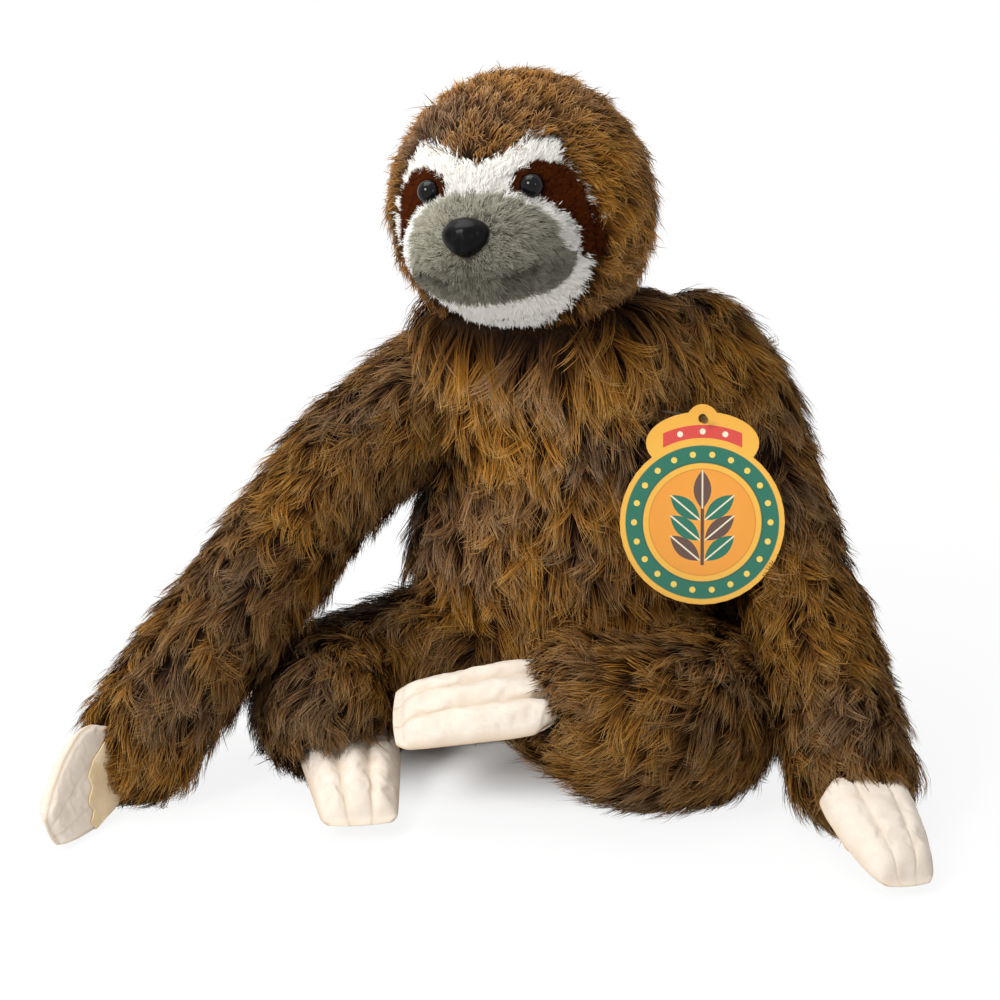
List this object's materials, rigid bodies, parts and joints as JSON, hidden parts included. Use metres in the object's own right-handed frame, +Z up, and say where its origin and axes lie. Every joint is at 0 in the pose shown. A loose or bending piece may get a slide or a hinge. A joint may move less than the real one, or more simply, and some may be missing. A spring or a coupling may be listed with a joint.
{
  "type": "plush sloth",
  "caption": "Seated stuffed sloth in long pile fur with a sewn white face, plush muzzle, long arms, flat suede claw packs and a round hang tag.",
  "frame": {"origin": "middle of the flat seat, on the surface that the toy sits on", "axes": "+Z up, the toy looks towards -Y, and its own left side is +X"},
  "size_m": [0.3818, 0.2607, 0.3086],
  "materials": {
    "long_fur": "long shaggy pile, dark roots and golden brown tips",
    "fibre_filling": "loose white polyester fibre",
    "pellet_cloth": "plain woven bag of plastic pellets",
    "white_plush": "short soft pile",
    "grey_plush": "short soft pile, brushed",
    "brown_velour": "very short velour pile",
    "cream_suede": "brushed imitation suede with sewn channels",
    "tan_suede": "brushed imitation suede",
    "black_plastic": "moulded, polished",
    "white_nylon": "moulded, translucent white",
    "dark_thread": "twisted sewing thread",
    "printed_card": "coated printed card"
  },
  "bodies": {
    "torso": {"torso_cover": "long_fur", "torso_filling": "fibre_filling", "pellet_bag": "pellet_cloth", "tag_fastener": "white_nylon"},
    "head": {"head_cover": "long_fur", "head_filling": "fibre_filling", "face_panel": "white_plush", "left_eye_patch": "brown_velour", "right_eye_patch": "brown_velour", "left_eye": "black_plastic", "right_eye": "black_plastic", "left_eye_washer": "white_nylon", "right_eye_washer": "white_nylon", "muzzle_cover": "grey_plush", "muzzle_filling": "fibre_filling", "nose": "black_plastic", "nose_washer": "white_nylon", "mouth_stitch": "dark_thread"},
    "left_arm": {"left_arm_cover": "long_fur", "left_arm_filling": "fibre_filling"},
    "right_arm": {"right_arm_cover": "long_fur", "right_arm_filling": "fibre_filling"},
    "left_leg": {"left_leg_cover": "long_fur", "left_leg_filling": "fibre_filling"},
    "right_leg": {"right_leg_cover": "long_fur", "right_leg_filling": "fibre_filling"},
    "left_hand": {"left_hand_claws": "cream_suede", "left_palm_pad": "tan_suede"},
    "right_hand": {"right_hand_claws": "cream_suede", "right_palm_pad": "tan_suede"},
    "left_foot": {"left_foot_claws": "cream_suede"},
    "right_foot": {"right_foot_claws": "cream_suede"},
    "tag": {"hang_tag": "printed_card"}
  },
  "joints": [
    {"name": "neck_turn", "type": "hinge", "parent": "torso", "child": "head", "pos_m": [-0.032, -0.03, 0.252], "axis": [0, 0, 1], "range_deg": [-30, 30]},
    {"name": "left_arm_raise", "type": "hinge", "parent": "torso", "child": "left_arm", "pos_m": [0.04482, 0, 0.172], "axis": [0, -1, 0], "range_deg": [0, 60]},
    {"name": "right_arm_raise", "type": "hinge", "parent": "torso", "child": "right_arm", "pos_m": [-0.06518, 0, 0.156], "axis": [0, 1, 0], "range_deg": [0, 30]},
    {"name": "left_leg_twist", "type": "hinge", "parent": "torso", "child": "left_leg", "pos_m": [0.046, -0.043, 0.0348], "axis": [0, 1, 0], "range_deg": [0, 25]},
    {"name": "right_leg_swing", "type": "hinge", "parent": "torso", "child": "right_leg", "pos_m": [-0.064, -0.022, 0.0348], "axis": [0, 0, -1], "range_deg": [0, 15]},
    {"name": "left_hand_bend", "type": "hinge", "parent": "left_arm", "child": "left_hand", "pos_m": [0.1113, -0.14372, 0.02526], "axis": [-0.9649, -0.2586, 0.0448], "range_deg": [0, 18]},
    {"name": "right_hand_bend", "type": "hinge", "parent": "right_arm", "child": "right_hand", "pos_m": [-0.21369, -0.10875, 0.03009], "axis": [0.3048, 0.1733, -0.9365], "range_deg": [0, 18]},
    {"name": "left_foot_bend", "type": "hinge", "parent": "left_leg", "child": "left_foot", "pos_m": [-0.01467, -0.11941, 0.05662], "axis": [-0.0383, 0.9236, 0.3815], "range_deg": [0, 18]},
    {"name": "right_foot_bend", "type": "hinge", "parent": "right_leg", "child": "right_foot", "pos_m": [-0.11015, -0.07759, 0.01957], "axis": [-0.9967, -0.0814, 0], "range_deg": [0, 18]},
    {"name": "tag_swing", "type": "hinge", "parent": "torso", "child": "tag", "pos_m": [0.0485, -0.059, 0.1625], "axis": [-1, 0, 0], "range_deg": [0, 30]}
  ]
}
